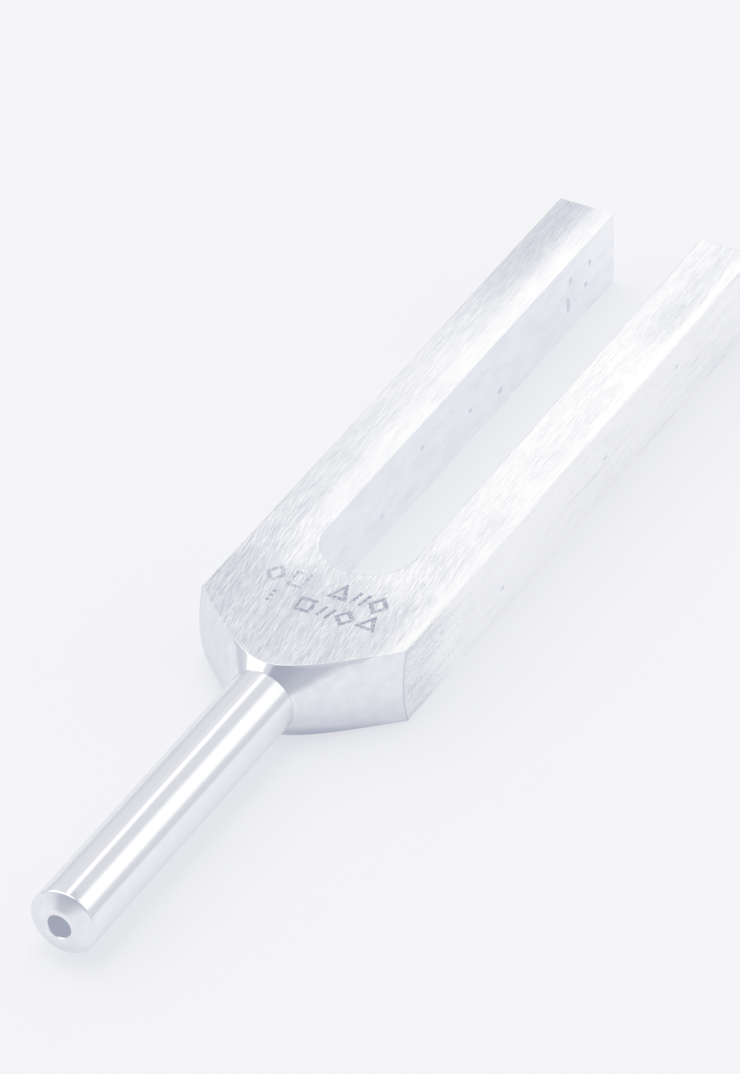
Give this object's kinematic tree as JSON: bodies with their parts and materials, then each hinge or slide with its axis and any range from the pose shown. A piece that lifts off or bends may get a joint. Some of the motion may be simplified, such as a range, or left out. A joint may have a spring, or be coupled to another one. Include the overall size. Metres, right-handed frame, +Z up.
{
  "type": "tuning fork",
  "caption": "Flat-bar metal tuning fork with two parallel square tines, a conical shoulder and a round polished stem drilled at its foot.",
  "frame": {"origin": "middle of the outline seen from above, on the plane the fork lies on", "axes": "+X across the tines, +Y along the stem towards the tine tips, +Z up out of the bar's broad face"},
  "size_m": [0.0254, 0.1364, 0.0095],
  "materials": {
    "brushed_metal": "coarsely brushed on the flats, satin on the turned cone",
    "polished_metal": "polished"
  },
  "bodies": {
    "root": {"fork_body": "brushed_metal", "stem": "polished_metal"}
  },
  "joints": []
}
